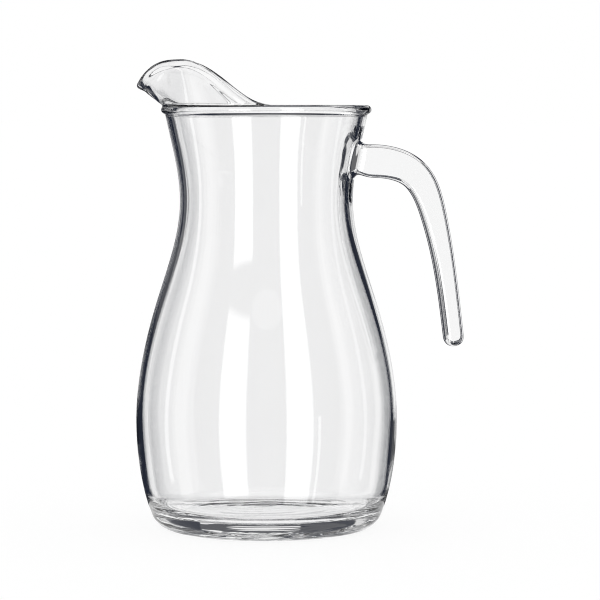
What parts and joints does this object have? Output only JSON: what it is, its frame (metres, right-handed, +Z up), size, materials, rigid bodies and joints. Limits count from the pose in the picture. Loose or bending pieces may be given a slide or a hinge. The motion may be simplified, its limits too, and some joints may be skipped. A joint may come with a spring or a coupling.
{
  "type": "water jug",
  "caption": "Clear glass water jug with a full belly, drawn-in neck, beaded mouth, raised ice lip and an open-ended glass handle fused to the neck, for serving cold drinks.",
  "frame": {"origin": "on the vessel's axis, in the plane of the foot ring that the jug stands on", "axes": "+Z up along the vessel's axis; the lip pours towards -X, the handle is on +X, and XZ is the plane of symmetry"},
  "size_m": [0.1823, 0.145, 0.2593],
  "materials": {
    "clear_glass": "fire-polished clear soda-lime glass"
  },
  "bodies": {
    "root": {"base": "clear_glass", "bowl": "clear_glass", "rim_bead": "clear_glass", "ice_lip": "clear_glass", "handle": "clear_glass"}
  },
  "joints": []
}
